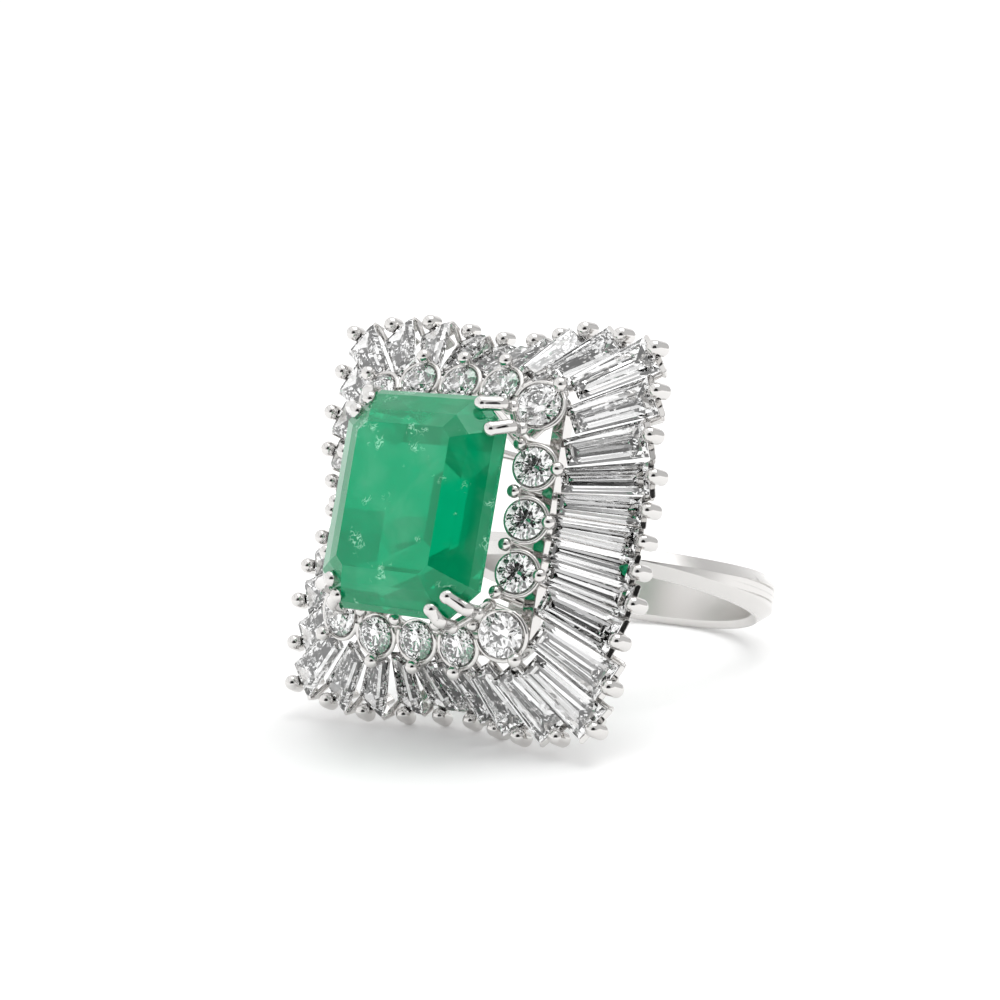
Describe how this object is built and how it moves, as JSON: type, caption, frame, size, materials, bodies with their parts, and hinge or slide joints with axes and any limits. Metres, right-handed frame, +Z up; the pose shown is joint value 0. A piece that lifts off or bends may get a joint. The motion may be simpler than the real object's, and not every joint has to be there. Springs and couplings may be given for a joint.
{
  "type": "gemstone cocktail ring",
  "caption": "Platinum cocktail ring with a step cut emerald in claws, a halo of round diamonds and a flaring skirt of tapered baguette diamonds.",
  "frame": {"origin": "middle of the bounding box at the floor the ring lies on", "axes": "the head faces -Y, the shank reaches back along +Y, and +Z is up; the finger axis leans back from +Z towards +Y"},
  "size_m": [0.0228, 0.0336, 0.0223],
  "materials": {
    "platinum": "polished platinum",
    "emerald": "polished facets, cloudy inside",
    "round_diamond": "polished facets",
    "baguette_diamond": "polished facets"
  },
  "bodies": {
    "root": {"ring_mount": "platinum", "emerald": "emerald", "round_diamonds": "round_diamond", "baguette_1": "baguette_diamond", "baguette_2": "baguette_diamond", "baguette_3": "baguette_diamond", "baguette_4": "baguette_diamond", "baguette_5": "baguette_diamond", "baguette_6": "baguette_diamond", "baguette_7": "baguette_diamond", "baguette_8": "baguette_diamond", "baguette_9": "baguette_diamond", "baguette_10": "baguette_diamond", "baguette_11": "baguette_diamond", "baguette_12": "baguette_diamond", "baguette_13": "baguette_diamond", "baguette_14": "baguette_diamond", "baguette_15": "baguette_diamond", "baguette_16": "baguette_diamond", "baguette_17": "baguette_diamond", "baguette_18": "baguette_diamond", "baguette_19": "baguette_diamond", "baguette_20": "baguette_diamond", "baguette_21": "baguette_diamond", "baguette_22": "baguette_diamond", "baguette_23": "baguette_diamond", "baguette_24": "baguette_diamond", "baguette_25": "baguette_diamond", "baguette_26": "baguette_diamond", "baguette_27": "baguette_diamond", "baguette_28": "baguette_diamond", "baguette_29": "baguette_diamond", "baguette_30": "baguette_diamond", "baguette_31": "baguette_diamond", "baguette_32": "baguette_diamond", "baguette_33": "baguette_diamond", "baguette_34": "baguette_diamond", "baguette_35": "baguette_diamond", "baguette_36": "baguette_diamond", "baguette_37": "baguette_diamond", "baguette_38": "baguette_diamond"}
  },
  "joints": []
}
